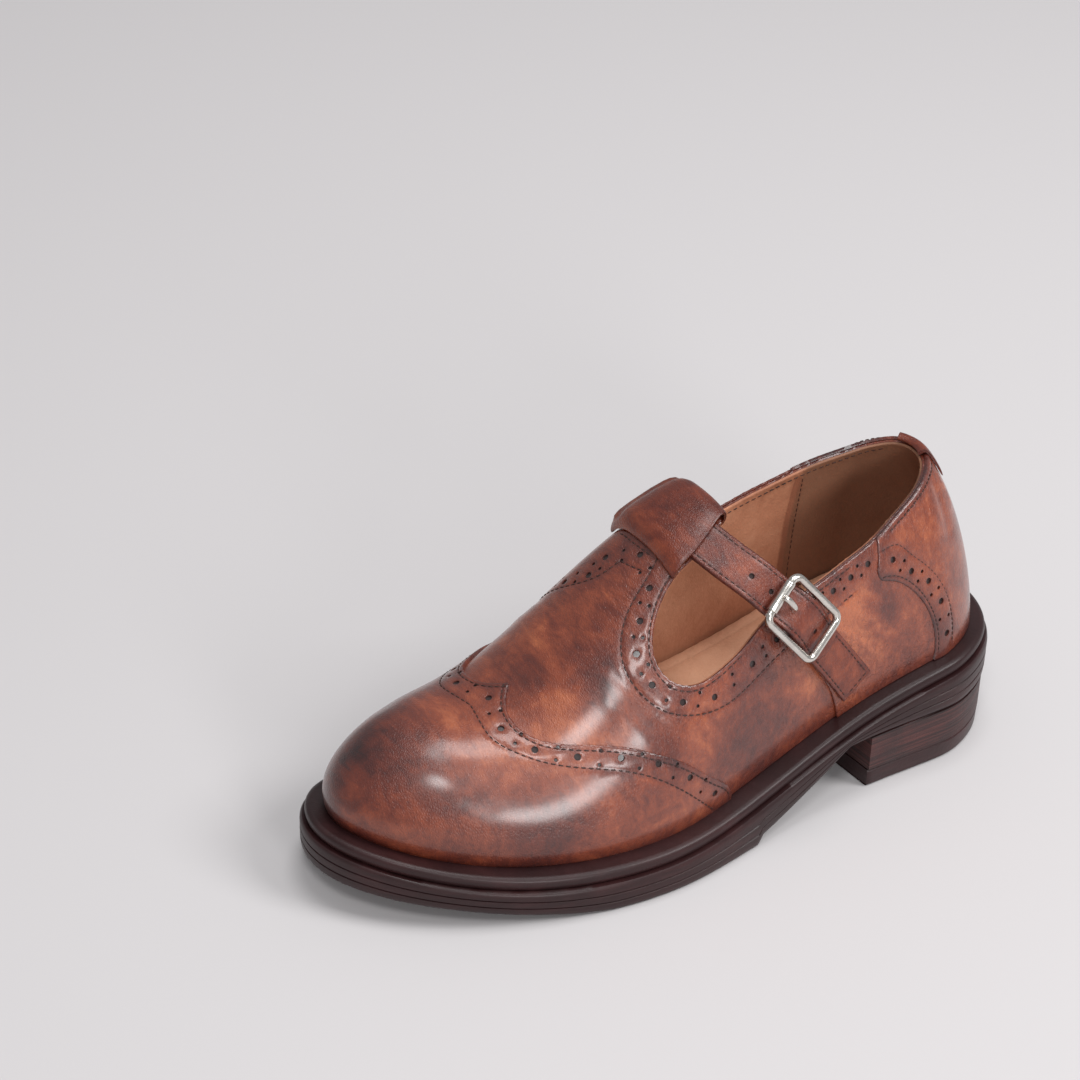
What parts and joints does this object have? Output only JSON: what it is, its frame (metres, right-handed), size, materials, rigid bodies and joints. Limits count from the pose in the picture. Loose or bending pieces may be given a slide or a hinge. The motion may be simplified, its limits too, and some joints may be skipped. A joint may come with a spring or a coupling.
{
  "type": "buckle loafer shoe",
  "caption": "Low T-strap leather shoe with a raised wing toe cap, a buckled instep strap through a keeper loop, a layered flanged sole and a stacked heel.",
  "frame": {"origin": "centre of the shoe's bounding box, on the floor it stands on", "axes": "toe toward -Y, outer side of the foot toward +X, up +Z"},
  "size_m": [0.1048, 0.261, 0.1101],
  "materials": {
    "upper_leather": "burnished, softly glossy",
    "strap_leather": "burnished, softly glossy",
    "lining": "matt, undyed",
    "sole": "satin",
    "heel_stack": "satin, streaked",
    "heel_lift": "satin",
    "buckle_metal": "brushed nickel"
  },
  "bodies": {
    "root": {"outsole": "sole", "midsole": "sole", "heel": "heel_stack", "heel_lift": "heel_lift", "insole": "lining", "upper": "upper_leather", "wing_cap": "upper_leather", "quarter_outer": "upper_leather", "quarter_inner": "upper_leather", "heel_counter": "upper_leather", "collar_tab": "upper_leather", "strap": "strap_leather", "strap_loop": "strap_leather", "buckle_tab": "strap_leather", "buckle_frame": "buckle_metal", "buckle_roller": "buckle_metal", "buckle_prong": "buckle_metal"}
  },
  "joints": []
}
